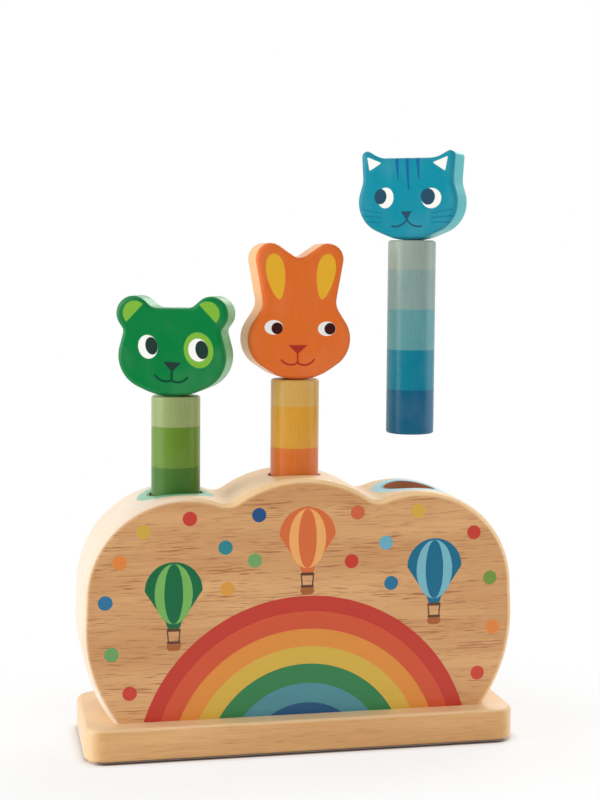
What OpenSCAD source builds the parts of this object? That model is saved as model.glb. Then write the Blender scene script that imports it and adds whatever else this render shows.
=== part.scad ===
// Pop up animal toy. Three wooden pegs with flat animal heads stand on coil springs
// in the holes of a cloud-shaped wooden block, which is screwed to a base plate.
// A pushed head springs up again, and each peg turns in its hole and lifts out.
// Millimetres. Z is up, the front faces -Y, and the base plate's underside is at Z = 0.

/* [Base plate] */
// Length of the base plate
base_length = 222; // [205:1:260]
// Width of the base plate, front to back
base_width = 74; // [62:1:110]
// Thickness of the base plate
base_thickness = 17; // [14:0.5:26]
// Radius of the base plate's corners, seen from above
base_corner_radius = 11; // [4:0.5:25]
// Rounding of the base plate's edges
base_edge_radius = 2.5; // [0.5:0.25:3.5]

/* [Block] */
// Depth of the block, front to back
block_depth = 52; // [44:1:60]
// How far the block stands out past each end of the base plate
block_overhang = 0.7; // [-4:0.1:3]
// Radius of the two side lobes
side_lobe_radius = 50.5; // [47:0.5:56]
// Height of the side lobes' centres above the base plate
side_lobe_height = 62.5; // [56:0.5:70]
// Radius of the middle lobe
middle_lobe_radius = 61.5; // [58:0.5:66]
// Height of the middle lobe's centre above the base plate
middle_lobe_height = 59.5; // [54:0.5:66]
// Radius of the hollow between two lobes
dip_radius = 9; // [4:0.5:16]
// Radius of the flanks below the side lobes
flank_radius = 80; // [72:1:100]
// Height above the base plate at which the flanks are widest
flank_height = 47; // [42:0.5:52]
// How far the flanks stand out beyond the side lobes
flank_bulge = 0.7; // [0:0.1:3]
// Rounding of the block's front and back edges
block_edge_radius = 4; // [1:0.25:6]

/* [Pegs] */
// Diameter of the stems
stem_diameter = 25; // [20:0.5:28]
// Length of a stem
stem_length = 101; // [80:1:130]
// Rounding of a stem's ends
stem_edge_radius = 1.2; // [0.4:0.1:3]
// Depth of a stem in its hole when the peg rests on its spring
stem_seat_depth = 52.5; // [46:0.5:62]
// Gap round a stem in its hole
stem_clearance = 1; // [0.3:0.05:1.5]
// Distance between two neighbouring holes
hole_spacing = 62; // [58:0.5:66]
// Turn of the bear's peg about its own axis, seen from above
bear_turn = -23; // [-180:1:180]
// Turn of the bunny's peg about its own axis, seen from above
bunny_turn = 5; // [-180:1:180]
// Turn of the cat's peg about its own axis, seen from above
cat_turn = -35; // [-180:1:180]
// Height that the cat's peg has sprung up above its place on the spring
cat_lift = 80; // [0:1:120]

/* [Heads] */
// Thickness of the heads
head_thickness = 19; // [14:0.5:25]
// Rounding of the heads' edges
head_edge_radius = 2.6; // [0.5:0.1:3]
// Width of the bear's head across the ears
bear_head_width = 58.6; // [48:0.2:70]
// Height of the bear's head from chin to ear tip
bear_head_height = 50.8; // [42:0.2:62]
// Width of the bunny's head across the cheeks
bunny_head_width = 55; // [47:0.2:68]
// Height of the bunny's head from chin to ear tip
bunny_head_height = 70; // [58:0.2:82]
// Width of the cat's head across the cheeks
cat_head_width = 54.4; // [46:0.2:66]
// Height of the cat's head from chin to ear tip
cat_head_height = 46.2; // [38:0.2:58]

/* [Neck pins] */
// Diameter of the pins that join the heads to the stems
neck_pin_diameter = 8; // [6:0.5:10]
// Length of a neck pin inside the head
neck_pin_in_head = 13; // [8:0.5:20]
// Length of a neck pin inside the stem
neck_pin_in_stem = 15; // [8:0.5:24]
// Glue gap round a neck pin
neck_pin_clearance = 0.05; // [0.02:0.01:0.1]

/* [Springs] */
// Diameter of the spring wire
wire_diameter = 1.2; // [0.9:0.1:1.5]
// Outer diameter of the springs
spring_diameter = 22; // [18:0.5:24]
// Turns that rise from the base plate to the flat top end
rising_turns = 10.3; // [8:0.1:11]
// Turns of the flat eye that winds in to the screw at the bottom
eye_turns = 1.25; // [1.1:0.05:1.5]
// Turns of the flat end under the stem
flat_turns = 0.7; // [0.3:0.05:0.7]

/* [Fasteners] */
// Diameter of the spring screws
spring_screw_diameter = 3; // [2.5:0.1:3.5]
// Depth of a spring screw in the base plate
spring_screw_depth = 12; // [8:0.5:13]
// Head diameter of the spring screws
spring_screw_head_diameter = 6; // [5:0.1:7]
// Head height of the spring screws
spring_screw_head_height = 2; // [1.4:0.1:2.6]
// Outer diameter of the spring washers
washer_diameter = 9.5; // [9:0.1:11]
// Thickness of the spring washers
washer_thickness = 0.8; // [0.5:0.1:1.2]
// Diameter of the base screws
base_screw_diameter = 4; // [3:0.1:5]
// Length of the base screws
base_screw_length = 38; // [30:1:50]
// Head diameter of the base screws
base_screw_head_diameter = 8; // [7:0.1:10]
// Depth of the base screws' heads below the underside
base_screw_recess = 1; // [0.5:0.1:2]
// Distance of the outer base screws from the middle
outer_screw_offset = 84; // [80:0.5:88]
// Gap round a screw in its hole
screw_clearance = 0.05; // [0.02:0.01:0.1]

/* [Hidden] */

$fn = 72;
// Largest gap between an arc and its chords
chord_sag = 0.08;
// Largest turn from one chord to the next
chord_turn = 20;
// Steps in the rounding of an edge
edge_steps = 3;
// Rings of wire in one turn of a spring, and sides of the wire
coil_steps = 14;
wire_sides = 6;
// Overshoot of a cut past the face that it opens
cut = 1;

base_top = base_thickness;
hole_radius = stem_diameter / 2 + stem_clearance;
stem_radius = stem_diameter / 2;
side_lobe_z = base_top + side_lobe_height;
middle_lobe_z = base_top + middle_lobe_height;
// The block's width follows the base plate's length
flank_x = base_length / 2 + block_overhang - flank_radius;
side_lobe_offset = base_length / 2 + block_overhang - flank_bulge - side_lobe_radius;
flank_z = base_top + flank_height;
// The block's outline runs on below the base plate's top, where it is cut off flat
foot_radius = 6;
foot_z = base_top - block_edge_radius - foot_radius;

bear_x = -hole_spacing;
bunny_x = 0;
cat_x = hole_spacing;

// Height of a lobe's top above a point that lies off its centre
function lobe_top(centre_z, radius, off) = centre_z + sqrt(radius * radius - off * off);
side_mouth_z = lobe_top(side_lobe_z, side_lobe_radius, hole_spacing - side_lobe_offset);
middle_mouth_z = lobe_top(middle_lobe_z, middle_lobe_radius, 0);

// Undersides of the stems
bear_seat_z = side_mouth_z - stem_seat_depth;
bunny_seat_z = middle_mouth_z - stem_seat_depth;
cat_seat_z = side_mouth_z - stem_seat_depth;
// Undersides of the heads
bear_neck_z = bear_seat_z + stem_length;
bunny_neck_z = bunny_seat_z + stem_length;
cat_neck_z = cat_seat_z + stem_length + cat_lift;

wire_radius = wire_diameter / 2;
coil_radius = spring_diameter / 2 - wire_radius;
eye_radius = spring_screw_diameter / 2 + screw_clearance + 2 * wire_radius;
washer_z = base_top + wire_diameter;
spring_head_z = washer_z + washer_thickness;

// ---- Outlines ----
// An outline is a ring of circles [x, z, radius] that it passes counter-clockwise,
// joined by straight tangents. A circle with a negative radius is a hollow.

// Direction of the tangent that leaves circle a and reaches circle b
function tangent_angle(a, b) =
    let (gap = norm([b.x - a.x, b.y - a.y]))
    atan2(b.y - a.y, b.x - a.x) - asin(max(-1, min(1, (b[2] - a[2]) / gap)));

// Length of that tangent
function tangent_length(a, b) =
    let (gap = norm([b.x - a.x, b.y - a.y]))
    sqrt(max(0, gap * gap - pow(b[2] - a[2], 2)));

// Turn from one direction to another, to the left round a bulge and to the right in a hollow
function turn_between(from, to, bulge) =
    let (turn = (to - from) % 360)
    bulge ? (turn < -90 ? turn + 360 : max(turn, 0)) : (turn > 90 ? turn - 360 : min(turn, 0));

function chord_step(radius) = min(chord_turn, 2 * acos(1 - chord_sag / max(radius, chord_sag)));

// Points round one circle of an outline, moved inwards by inset
function arc_points(circle, from, to, inset, with_end) =
    let (
        bulge = circle[2] > 0,
        turn = turn_between(from, to, bulge),
        steps = max(1, ceil(abs(turn) / chord_step(abs(circle[2])))),
        radius = bulge ? max(circle[2] - inset, 0.05) : circle[2] - inset
    )
    [for (k = [0:steps - (with_end ? 0 : 1)])
        let (a = from + turn * k / steps)
        [circle.x + radius * sin(a), circle.y - radius * cos(a)]];

// Points round a whole outline. An arc leaves out its end where the next arc starts there.
function outline_points(circles, inset) =
    let (n = len(circles))
    [for (i = [0:n - 1])
        let (before = circles[(i + n - 1) % n], here = circles[i], after = circles[(i + 1) % n])
        each arc_points(here, tangent_angle(before, here), tangent_angle(here, after), inset,
                        tangent_length(here, after) > 0.05)];

// An outline that is the same left and right: middle circles at the bottom and the top,
// and the right-hand circles from the bottom up
function mirrored_outline(bottom, right, top) =
    let (n = len(right))
    [each bottom, each right, each top,
     each [for (i = [n - 1:-1:0]) [-right[i].x, right[i].y, right[i][2]]]];

// Centre of a circle that touches two others, on the left of the way from a to b
function touching_centre(a, b, radius) =
    let (
        gap = norm([b.x - a.x, b.y - a.y]),
        side_a = a[2] + radius,
        side_b = b[2] + radius,
        along = (side_a * side_a - side_b * side_b + gap * gap) / (2 * gap),
        up = sqrt(side_a * side_a - along * along),
        t = [(b.x - a.x) / gap, (b.y - a.y) / gap]
    )
    [a.x + t.x * along - t.y * up, a.y + t.y * along + t.x * up];

// A board with the given outline and rounded front and back edges, upright and centred on Y = 0
module rounded_board(circles, thickness, edge_radius) {
    bulges = [for (c = circles) if (c[2] > 0) c[2]];
    edge = min(edge_radius, thickness / 2 - 0.5, min(bulges) - 0.3);
    half = [for (k = [0:edge_steps])
        let (a = 90 * k / edge_steps)
        [edge * (1 - sin(a)), thickness / 2 - edge * (1 - cos(a))]];
    layers = [
        each [for (l = half) [l[0], -l[1]]],
        each [for (k = [edge_steps:-1:0]) half[k]]
    ];
    rings = [for (l = layers) [for (p = outline_points(circles, l[0])) [p.x, l[1], p.y]]];
    n = len(rings[0]);
    last = len(rings) - 1;
    sides = [for (j = [0:last - 1], i = [0:n - 1])
        [j * n + i, j * n + (i + 1) % n, (j + 1) * n + (i + 1) % n, (j + 1) * n + i]];
    front = [for (i = [n - 1:-1:0]) i];
    back = [for (i = [0:n - 1]) last * n + i];
    polyhedron(points = [for (r = rings) each r], faces = [front, back, each sides]);
}

// ---- Base plate and block ----

module base_plate() {
    corner_x = base_length / 2 - base_corner_radius;
    corner_y = base_width / 2 - base_corner_radius;
    corners = mirrored_outline(
        [], [[corner_x, -corner_y, base_corner_radius], [corner_x, corner_y, base_corner_radius]], []);
    color("burlywood")
    difference() {
        translate([0, 0, base_thickness / 2])
            rotate([-90, 0, 0])
                rounded_board(corners, base_thickness, base_edge_radius);
        each_base_screw() base_screw_hole();
        each_hole() translate([0, 0, base_top - spring_screw_depth])
            cylinder(r = spring_screw_diameter / 2 + screw_clearance, h = spring_screw_depth + cut);
    }
}

// The middle lobe, side lobes and dips of the block, and the round flanks below them
function block_outline() =
    let (
        middle = [0, middle_lobe_z, middle_lobe_radius],
        side = [side_lobe_offset, side_lobe_z, side_lobe_radius],
        dip = touching_centre(middle, side, dip_radius),
        flank = [flank_x, flank_z, flank_radius],
        foot_reach = flank_radius - foot_radius,
        foot_x = flank_x + sqrt(pow(foot_reach, 2) - pow(foot_z - flank_z, 2))
    )
    mirrored_outline(
        [],
        [[foot_x, foot_z, foot_radius], flank, side, [dip.x, dip.y, -dip_radius]],
        [middle]);

module body_block() {
    color("peru")
    difference() {
        rounded_board(block_outline(), block_depth, block_edge_radius);
        translate([-base_length, -block_depth, base_top - base_length])
            cube([2 * base_length, 2 * block_depth, base_length]);
        each_hole() translate([0, 0, base_top - cut])
            cylinder(r = hole_radius, h = middle_mouth_z);
        each_base_screw() base_screw_hole();
    }
}

// Copies its children to the foot of each of the three peg holes
module each_hole() {
    for (x = [bear_x, bunny_x, cat_x])
        translate([x, 0, 0])
            children();
}

// Copies its children to the four base screws, between and outside the holes
module each_base_screw() {
    for (x = [hole_spacing / 2, outer_screw_offset], side = [-1, 1])
        translate([side * x, 0, base_screw_recess])
            children();
}

// ---- Fasteners ----

base_screw_sink = (base_screw_head_diameter - base_screw_diameter) / 2;

module base_screw_hole() {
    translate([0, 0, -base_screw_recess - cut])
        cylinder(d = base_screw_head_diameter, h = base_screw_recess + cut);
    cylinder(r1 = base_screw_head_diameter / 2, r2 = base_screw_diameter / 2, h = base_screw_sink);
    cylinder(r = base_screw_diameter / 2 + screw_clearance, h = base_screw_length + screw_clearance);
}

module base_screws() {
    point = base_screw_diameter;
    color("silver")
    each_base_screw() rotate_extrude()
        polygon([
            [0, 0], [base_screw_head_diameter / 2, 0],
            [base_screw_diameter / 2, base_screw_sink],
            [base_screw_diameter / 2, base_screw_length - point],
            [0.3, base_screw_length], [0, base_screw_length]
        ]);
}

// A round-head screw that holds a spring's eye down on the base plate
module spring_screw(x) {
    head_radius = spring_screw_head_diameter / 2;
    shank_radius = spring_screw_diameter / 2;
    dome_radius = (pow(head_radius, 2) + pow(spring_screw_head_height, 2)) / (2 * spring_screw_head_height);
    point = spring_screw_diameter;
    shank = spring_head_z - base_top + spring_screw_depth - 0.2;
    color("silver")
    translate([x, 0, spring_head_z]) {
        rotate_extrude() intersection() {
            translate([0, spring_screw_head_height - dome_radius]) circle(dome_radius);
            square([head_radius, spring_screw_head_height]);
        }
        rotate_extrude() polygon([
            [0, 0], [shank_radius, 0], [shank_radius, point - shank], [0.3, -shank], [0, -shank]
        ]);
    }
}

module spring_washer(x) {
    color("gainsboro")
    translate([x, 0, washer_z])
        difference() {
            cylinder(d = washer_diameter, h = washer_thickness);
            translate([0, 0, -cut])
                cylinder(r = spring_screw_diameter / 2 + screw_clearance, h = washer_thickness + 2 * cut);
        }
}

// ---- Springs ----

// Centre of the wire after a given angle: a flat spiral out of the eye, the rising coils,
// and the flat end under the stem
function wire_centre(angle, free_length) =
    let (
        eye_end = 360 * eye_turns,
        rise_end = eye_end + 360 * rising_turns,
        out = min(1, angle / eye_end),
        risen = max(0, min(1, (angle - eye_end) / (rise_end - eye_end))),
        radius = eye_radius + (coil_radius - eye_radius) * out * out * (3 - 2 * out)
    )
    [radius * cos(angle), radius * sin(angle), wire_radius + (free_length - wire_diameter) * risen];

// A coil spring from the base plate up to the underside of a stem
module coil_spring(x, seat_z) {
    free_length = seat_z - base_top;
    rings = ceil((eye_turns + rising_turns + flat_turns) * coil_steps);
    points = [for (i = [0:rings], j = [0:wire_sides - 1])
        let (
            angle = 360 * i / coil_steps,
            centre = wire_centre(angle, free_length),
            out = wire_radius * cos(360 * (j + 0.5) / wire_sides),
            up = wire_radius * sin(360 * (j + 0.5) / wire_sides)
        )
        [centre.x + out * cos(angle), centre.y + out * sin(angle), centre.z + up]];
    sides = [for (i = [0:rings - 1], j = [0:wire_sides - 1])
        let (
            a = i * wire_sides + j,
            b = i * wire_sides + (j + 1) % wire_sides,
            c = b + wire_sides,
            d = a + wire_sides
        )
        each [[a, b, c], [a, c, d]]];
    start_cap = [for (j = [wire_sides - 1:-1:0]) j];
    end_cap = [for (j = [0:wire_sides - 1]) rings * wire_sides + j];
    color("lightsteelblue")
    translate([x, 0, base_top])
        polyhedron(points = points, faces = [start_cap, end_cap, each sides]);
}

// ---- Pegs ----

// A round stem with softened ends and a hole in its top for the neck pin
module stem(x, bottom_z, paint) {
    edge = stem_edge_radius;
    color(paint)
    translate([x, 0, bottom_z])
        difference() {
            rotate_extrude() {
                square([stem_radius - edge, stem_length]);
                translate([0, edge]) square([stem_radius, stem_length - 2 * edge]);
                for (z = [edge, stem_length - edge])
                    translate([stem_radius - edge, z]) circle(edge);
            }
            translate([0, 0, stem_length - neck_pin_in_stem - neck_pin_clearance])
                cylinder(r = neck_pin_diameter / 2 + neck_pin_clearance, h = neck_pin_in_stem + cut);
        }
}

module neck_pin(x, neck_z) {
    color("wheat")
    translate([x, 0, neck_z - neck_pin_in_stem])
        cylinder(d = neck_pin_diameter, h = neck_pin_in_stem + neck_pin_in_head);
}

// A flat head on top of a stem, drilled from below for the neck pin
module head(x, neck_z, turn, circles, paint) {
    color(paint)
    translate([x, 0, neck_z])
        rotate([0, 0, turn])
            difference() {
                rounded_board(circles, head_thickness, head_edge_radius);
                translate([0, 0, -cut])
                    cylinder(r = neck_pin_diameter / 2 + neck_pin_clearance,
                             h = neck_pin_in_head + neck_pin_clearance + cut);
            }
}

// ---- Heads ----
// Each face is drawn at its own size from the circles that round its chin, cheeks and ears,
// and is then stretched to the width and height that are asked for.

function stretched(circles, across, up) =
    [for (c = circles) [c.x * across, c.y * up, c[2] * min(across, up)]];

// Chin, then cheeks, notches, round ears, and the hollows beside the flat crown
function bear_outline() = stretched(
    mirrored_outline(
        [[0, 36, 36]],
        [[11.1, 20.4, 17.2], [29.3, 32.7, -3.6], [20.3, 41.8, 9], [7.8, 50.8, -6]],
        []),
    bear_head_width / 58.6, bear_head_height / 50.8);

// Chin, then cheeks, long waists, tall ears, and the hollow between the ears
function bunny_outline() = stretched(
    mirrored_outline(
        [[0, 30, 30]],
        [[11.5, 20.8, 16], [28.8, 40, -9], [15.3, 61.8, 8.2]],
        [[0, 69.8, -7]]),
    bunny_head_width / 55, bunny_head_height / 70);

// Chin, then cheeks, gently hollow sides, pointed ears, and the slopes down to a flat crown
function cat_outline() = stretched(
    mirrored_outline(
        [[0, 31, 31]],
        [[10.7, 19.7, 16.5], [36.9, 31.5, -12], [22.6, 43.2, 3], [11.5, 56.5, -14]],
        []),
    cat_head_width / 54.4, cat_head_height / 46.2);

module bear_head() { head(bear_x, bear_neck_z, bear_turn, bear_outline(), "seagreen"); }
module bear_stem() { stem(bear_x, bear_seat_z, "yellowgreen"); }
module bear_neck_pin() { neck_pin(bear_x, bear_neck_z); }
module bear_spring() { coil_spring(bear_x, bear_seat_z); }
module bear_spring_washer() { spring_washer(bear_x); }
module bear_spring_screw() { spring_screw(bear_x); }

module bunny_head() { head(bunny_x, bunny_neck_z, bunny_turn, bunny_outline(), "chocolate"); }
module bunny_stem() { stem(bunny_x, bunny_seat_z, "sandybrown"); }
module bunny_neck_pin() { neck_pin(bunny_x, bunny_neck_z); }
module bunny_spring() { coil_spring(bunny_x, bunny_seat_z); }
module bunny_spring_washer() { spring_washer(bunny_x); }
module bunny_spring_screw() { spring_screw(bunny_x); }

module cat_head() { head(cat_x, cat_neck_z, cat_turn, cat_outline(), "darkcyan"); }
module cat_stem() { stem(cat_x, cat_seat_z + cat_lift, "mediumaquamarine"); }
module cat_neck_pin() { neck_pin(cat_x, cat_neck_z); }
module cat_spring() { coil_spring(cat_x, cat_seat_z); }
module cat_spring_washer() { spring_washer(cat_x); }
module cat_spring_screw() { spring_screw(cat_x); }

base_plate();
body_block();
base_screws();
bear_head();
bear_stem();
bear_neck_pin();
bear_spring();
bear_spring_washer();
bear_spring_screw();
bunny_head();
bunny_stem();
bunny_neck_pin();
bunny_spring();
bunny_spring_washer();
bunny_spring_screw();
cat_head();
cat_stem();
cat_neck_pin();
cat_spring();
cat_spring_washer();
cat_spring_screw();
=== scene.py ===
import math

import bpy
from mathutils import Matrix, Vector


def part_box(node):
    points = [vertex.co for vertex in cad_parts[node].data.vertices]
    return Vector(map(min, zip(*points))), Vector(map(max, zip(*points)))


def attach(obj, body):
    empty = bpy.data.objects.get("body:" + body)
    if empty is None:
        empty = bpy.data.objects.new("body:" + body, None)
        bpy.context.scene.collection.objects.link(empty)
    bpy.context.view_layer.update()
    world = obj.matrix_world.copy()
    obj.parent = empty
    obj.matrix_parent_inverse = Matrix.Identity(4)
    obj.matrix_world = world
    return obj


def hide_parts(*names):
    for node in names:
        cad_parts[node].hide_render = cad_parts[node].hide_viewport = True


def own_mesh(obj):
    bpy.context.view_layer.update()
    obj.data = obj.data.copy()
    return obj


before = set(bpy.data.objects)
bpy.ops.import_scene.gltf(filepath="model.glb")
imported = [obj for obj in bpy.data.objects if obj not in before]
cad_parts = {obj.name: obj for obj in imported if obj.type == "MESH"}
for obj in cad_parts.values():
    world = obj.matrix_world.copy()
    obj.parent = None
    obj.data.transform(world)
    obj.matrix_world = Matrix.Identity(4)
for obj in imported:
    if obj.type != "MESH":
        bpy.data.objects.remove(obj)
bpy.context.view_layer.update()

MM = 0.001

# --- Sizes in millimetres, the same as those of the solids ---

PLATE_LENGTH, PLATE_WIDTH, PLATE_TOP = 222, 74, 17
PLATE_CORNER, PLATE_EDGE = 11, 2.5

BLOCK_DEPTH, BLOCK_EDGE = 52, 4
SIDE_LOBE = (60.5, 79.5, 50.5)
MIDDLE_LOBE = (0, 76.5, 61.5)
DIP_RADIUS = 9
FLANK = (31.7, 64, 80)

HOLE_X = {"bear": -62, "bunny": 0, "cat": 62}
HOLE_RADIUS, MOUTH_EDGE = 13.5, 0.7

STEM_RADIUS, STEM_LENGTH, STEM_EDGE = 12.5, 101, 1.2
BAND_ENDS = {"bear": (15.3, 36.0, 57.0, 77.9), "bunny": (13.6, 35.1, 56.2, 77.3),
             "cat": (15.2, 35.8, 56.9, 77.7)}

HEAD_THICKNESS, HEAD_EDGE = 19, 2.6
PIN_RADIUS, PIN_IN_HEAD, PIN_IN_STEM = 4.05, 13.05, 15.05

BASE_SCREW_X = (-84, -31, 31, 84)
SCREW_RECESS, SCREW_HEAD, SCREW_SHANK, SCREW_LENGTH = 1, 4, 2, 38
SCREW_GAP, SCREW_TIP = 0.05, 0.3
RIM_WIDTH, RIM_HEIGHT = 0.3, 0.12
SPRING_SCREW_HEAD, SPRING_SCREW_DOME, SPRING_SCREW_SHANK = 3, 2, 1.5
DOME_STEPS = 8
# A driver's cross: its length, its width, how far its cutter stands out of the screw's head,
# and its depth. The cutter narrows to its end.
BASE_CROSS, DOME_CROSS = (3.4, 0.75, 0.3, 1.8), (3.0, 0.7, 0.26, 1.56)
CROSS_TAPER = 0.45

WIRE_RADIUS, COIL_RADIUS, EYE_RADIUS = 0.6, 10.4, 2.75
EYE_TURNS, RISING_TURNS, FLAT_TURNS = 1.25, 10.3, 0.7
STEPS_PER_TURN = 28

# How far a cutter goes past what it cuts, and the gap below which two places are one.
CLEAR, TOGETHER = 2, 0.01
SHORTEST_STRAIGHT, LEAST_TURN = 0.02, 1e-4
BORE_SIDES = 48

# Outlines are rings of circles (across, up, radius), passed counter-clockwise and joined
# by straight tangents. A negative radius is a hollow, and no radius a sharp corner.
# Heads are measured from the chin.
CHIN = {"bear": (0, 36, 36), "bunny": (0, 30, 30), "cat": (0, 31, 31)}
CHEEK_AND_EAR = {
    "bear": [(11.1, 20.4, 17.2), (29.3, 32.7, -3.6), (20.3, 41.8, 9), (7.8, 50.8, -6)],
    "bunny": [(11.5, 20.8, 16), (28.8, 40, -9), (15.3, 61.8, 8.2)],
    "cat": [(10.7, 19.7, 16.5), (36.9, 31.5, -12), (22.6, 43.2, 3), (11.5, 56.5, -14)]}
CROWN = {"bear": [], "bunny": [(0, 69.8, -7)], "cat": []}

TURNS = {"bear": -23, "bunny": 5, "cat": -35}


def colour(red, green, blue):
    """A shader colour from its usual 0 to 255 values."""
    def linear(value):
        share = value / 255
        return share / 12.92 if share <= 0.04045 else ((share + 0.055) / 1.055) ** 2.4
    return (linear(red), linear(green), linear(blue), 1.0)


# --- Modelling by hand ---

def let_go():
    """Leaves edit mode with nothing selected."""
    if bpy.context.mode != "OBJECT":
        bpy.ops.object.mode_set(mode="OBJECT")
    bpy.ops.object.select_all(action="DESELECT")


def pick(piece):
    let_go()
    piece.select_set(True)
    bpy.context.view_layer.objects.active = piece


def edit(piece, mode="VERT"):
    """Opens a piece in edit mode with nothing in it selected."""
    pick(piece)
    bpy.ops.object.mode_set(mode="EDIT")
    bpy.ops.mesh.select_mode(type=mode)
    bpy.ops.mesh.select_all(action="DESELECT")


def select_where(piece, mode, wanted):
    """Selects points by wanted(point), or edges by wanted(end, other end), in millimetres."""
    edit(piece, mode)
    bpy.ops.object.mode_set(mode="OBJECT")
    points = [vertex.co / MM for vertex in piece.data.vertices]
    for item in piece.data.edges if mode == "EDGE" else piece.data.vertices:
        ends = item.vertices if mode == "EDGE" else [item.index]
        item.select = wanted(*[points[end] for end in ends])
    bpy.ops.object.mode_set(mode="EDIT")


def apply_modifier(piece, kind, **settings):
    pick(piece)
    modifier = piece.modifiers.new(kind.title(), kind)
    for name, value in settings.items():
        setattr(modifier, name, value)
    bpy.ops.object.modifier_apply(modifier=modifier.name)


def cut(piece, cutter):
    """Takes the cutter's shape out of a piece."""
    apply_modifier(piece, "BOOLEAN", operation="DIFFERENCE", solver="MANIFOLD", object=cutter)
    bpy.data.objects.remove(cutter)


def cylinder(radius, low, high, x=0, sides=96):
    """A plain upright cylinder to cut with or to start from."""
    let_go()
    bpy.ops.mesh.primitive_cylinder_add(
        vertices=sides, radius=radius * MM, depth=(high - low) * MM,
        location=(x * MM, 0, (low + high) / 2 * MM))
    bpy.ops.object.transform_apply(location=True, rotation=True, scale=True)
    return bpy.context.object


def tangent_angle(a, b):
    """Direction of the straight that leaves circle a and reaches circle b."""
    gap = math.dist(a[:2], b[:2])
    lean = max(-1, min(1, (b[2] - a[2]) / gap))
    return math.atan2(b[1] - a[1], b[0] - a[0]) - math.asin(lean)


def on_circle(circle, direction):
    """The point where the outline runs in a direction on a circle."""
    x, up, radius = circle
    return x + radius * math.sin(direction), up - radius * math.cos(direction)


def turn_between(start, end, bulge):
    """How far the outline turns on a circle, to the left on a bulge and right in a hollow."""
    turn = math.fmod(end - start, math.tau)
    if bulge:
        return turn + math.tau if turn < -math.pi / 2 else max(turn, 0)
    return turn - math.tau if turn > math.pi / 2 else min(turn, 0)


def arc_step(radius):
    """Finer steps on a wide arc, so that no chord shows."""
    return min(math.radians(9), max(math.radians(1.6), math.radians(60 / abs(radius))))


def mirrored(bottom, side, top):
    """A whole outline from its middle circles and those of its right side."""
    return [*bottom, *side, *top, *[(-x, up, radius) for x, up, radius in reversed(side)]]


def start_line(spot):
    """Opens a new piece in edit mode, with a single point in it to draw on from."""
    let_go()
    bpy.ops.mesh.primitive_plane_add(size=MM)
    bpy.ops.object.mode_set(mode="EDIT")
    bpy.ops.mesh.select_mode(type="VERT")
    bpy.ops.mesh.select_all(action="SELECT")
    bpy.ops.mesh.merge(type="CENTER")
    bpy.ops.transform.translate(value=spot)
    return bpy.context.object


def weld(threshold):
    """Joins the points that lie together in the open piece and turns its faces outwards."""
    bpy.ops.mesh.select_all(action="SELECT")
    bpy.ops.mesh.remove_doubles(threshold=threshold * MM)
    bpy.ops.mesh.normals_make_consistent(inside=False)


def board(name, circles, low, thickness, lying=False):
    """A flat board with the given outline, drawn with extruded straights and spun arcs.

    It stands upright with its front at y = low, or lies with its underside at z = low.
    """
    def there(across, up):
        return Vector((across, up, low) if lying else (across, low, up)) * MM

    axis = (0, 0, 1) if lying else (0, -1, 0)
    count = len(circles)
    pen = there(*on_circle(circles[0], tangent_angle(circles[-1], circles[0])))
    piece = start_line(pen)
    piece.name = piece.data.name = name
    for i, here in enumerate(circles):
        arrive = tangent_angle(circles[i - 1], here)
        leave = tangent_angle(here, circles[(i + 1) % count])
        start = there(*on_circle(here, arrive))
        if (start - pen).length > SHORTEST_STRAIGHT * MM:
            bpy.ops.mesh.extrude_region_move(TRANSFORM_OT_translate={"value": start - pen})
        turn = turn_between(arrive, leave, here[2] > 0)
        if here[2] and abs(turn) > LEAST_TURN:
            bpy.ops.mesh.spin(steps=max(1, math.ceil(abs(turn) / arc_step(here[2]))),
                              angle=-turn, center=there(here[0], here[1]), axis=axis)
        pen = there(*on_circle(here, leave))
    weld(0.03)
    bpy.ops.mesh.edge_face_add()
    rise = (0, 0, thickness * MM) if lying else (0, thickness * MM, 0)
    bpy.ops.mesh.extrude_region_move(TRANSFORM_OT_translate={"value": rise})
    weld(0.03)
    let_go()
    return piece


def turned(profile, steps=40):
    """A turned piece: a line of (radius, height) points, from pole to pole, spun upright."""
    pen = Vector((profile[0][0], 0, profile[0][1])) * MM
    piece = start_line(pen)
    for radius, height in profile[1:]:
        spot = Vector((radius, 0, height)) * MM
        bpy.ops.mesh.extrude_region_move(TRANSFORM_OT_translate={"value": spot - pen})
        pen = spot
    bpy.ops.mesh.select_all(action="SELECT")
    bpy.ops.mesh.spin(steps=steps, angle=math.tau, center=(0, 0, 0), axis=(0, 0, 1))
    weld(0.002)
    let_go()
    return piece


def round_over(piece, wanted, radius, segments=5):
    """Rounds the edges whose two ends satisfy wanted(end, other end), in millimetres."""
    select_where(piece, "EDGE", wanted)
    bpy.ops.mesh.bevel(offset=radius * MM, segments=segments, profile=0.5, affect="EDGES",
                       clamp_overlap=False, loop_slide=False)
    let_go()


def smooth(piece, angle=32):
    """Shades a finished piece so that its round parts look round and its flats stay flat."""
    pick(piece)
    bpy.ops.object.shade_smooth_by_angle(angle=math.radians(angle))
    apply_modifier(piece, "WEIGHTED_NORMAL", mode="FACE_AREA", keep_sharp=True)
    let_go()


def copied(piece, name, shift):
    """A copy of a piece with its own mesh, moved by a shift in millimetres."""
    copy = piece.copy()
    copy.data = piece.data.copy()
    copy.name = copy.data.name = name
    copy.data.transform(Matrix.Translation(Vector(shift) * MM))
    bpy.context.collection.objects.link(copy)
    return copy


# --- Places that follow from the sizes ---

def top_of(node):
    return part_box(node)[1][2] / MM


def foot_of(node):
    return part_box(node)[0][2] / MM


SEAT_Z = {animal: top_of(animal + "_spring") for animal in HOLE_X}
STEM_Z = {animal: foot_of(animal + "_stem") for animal in HOLE_X}
NECK_Z = {animal: STEM_Z[animal] + STEM_LENGTH for animal in HOLE_X}


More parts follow.
